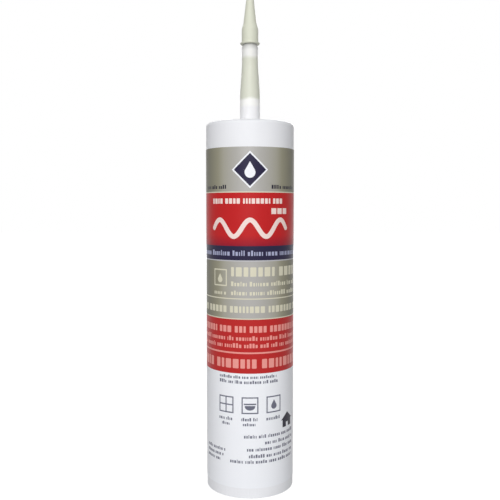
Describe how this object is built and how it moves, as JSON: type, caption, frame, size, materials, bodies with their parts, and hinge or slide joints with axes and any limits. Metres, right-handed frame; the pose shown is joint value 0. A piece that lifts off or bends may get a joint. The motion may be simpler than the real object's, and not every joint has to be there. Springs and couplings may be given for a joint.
{
  "type": "caulk tube",
  "caption": "Cylindrical sealant cartridge: plastic barrel with snapped-on nozzle, push-on cap, follower piston, sealant fill and wrap-round label.",
  "frame": {"origin": "centre of the rear rim, on the plane that the cartridge stands on", "axes": "+Z along the barrel's axis from the open rear to the nozzle's tip; -Y is the label's front, +Y its seam"},
  "size_m": [0.0512, 0.0512, 0.291],
  "materials": {
    "barrel_plastic": "satin",
    "nozzle_plastic": "satin",
    "cap_plastic": "satin",
    "piston_plastic": "satin",
    "sealant_paste": "gloss",
    "label_film": "satin"
  },
  "bodies": {
    "barrel": {"barrel": "barrel_plastic", "nozzle": "nozzle_plastic", "sealant": "sealant_paste", "label": "label_film"},
    "piston": {"piston": "piston_plastic"},
    "cap": {"nozzle_cap": "cap_plastic"}
  },
  "joints": [
    {"name": "piston_slide", "type": "slide", "parent": "barrel", "child": "piston", "axis": [0, 0, 1], "range_m": [0, 0.165], "deforming": ["sealant"]},
    {"name": "cap_pull", "type": "slide", "parent": "barrel", "child": "cap", "axis": [0, 0, 1], "range_m": [0, 0.04]}
  ]
}
